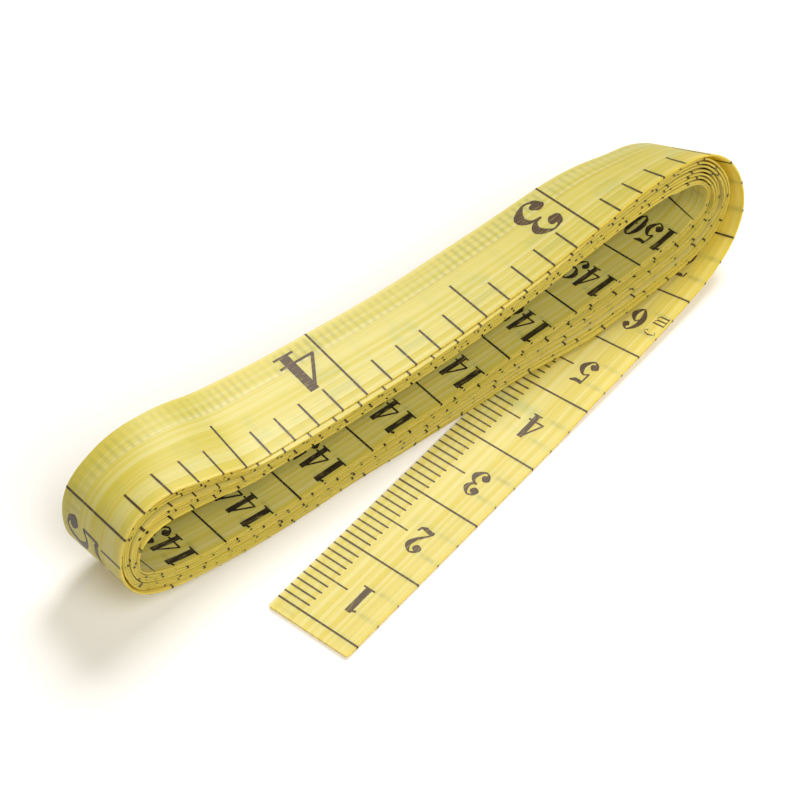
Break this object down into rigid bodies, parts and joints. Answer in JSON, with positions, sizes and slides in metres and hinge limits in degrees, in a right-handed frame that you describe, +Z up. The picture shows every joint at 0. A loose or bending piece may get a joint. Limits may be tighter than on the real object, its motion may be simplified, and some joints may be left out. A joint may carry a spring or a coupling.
{
  "type": "cloth tape measure",
  "caption": "Narrow coated-cloth tape measure wound into a flat oval coil, with its zero end lying out flat and free to lift.",
  "frame": {"origin": "centre of the footprint, on the table that the tape lies on", "axes": "+X along the coil's long side, +Z up, +Y from the free tail's side towards the coil's back"},
  "size_m": [0.0882, 0.0278, 0.0172],
  "materials": {
    "tape": "satin yellow plastic coat over thin woven cloth",
    "print_ink": "black-brown printing ink, broken by the cloth's threads"
  },
  "bodies": {
    "coil": {"wound_tape": "tape"},
    "tail_inner": {"tail_inner_span": "tape"},
    "tail_middle": {"tail_middle_span": "tape"},
    "tip": {"tail_tip": "tape"}
  },
  "joints": [
    {"name": "tail_inner_bend", "type": "hinge", "parent": "coil", "child": "tail_inner", "pos_m": [0.00478, -0.00267, 0.00013], "axis": [-0.1788, 0.9839, 0], "range_deg": [0, 45]},
    {"name": "tail_middle_bend", "type": "hinge", "parent": "tail_inner", "child": "tail_middle", "pos_m": [-0.00604, -0.00464, 0.00013], "axis": [-0.1788, 0.9839, 0], "range_deg": [0, 45]},
    {"name": "tip_bend", "type": "hinge", "parent": "tail_middle", "child": "tip", "pos_m": [-0.01687, -0.0066, 0.00013], "axis": [-0.1788, 0.9839, 0], "range_deg": [0, 45]}
  ]
}
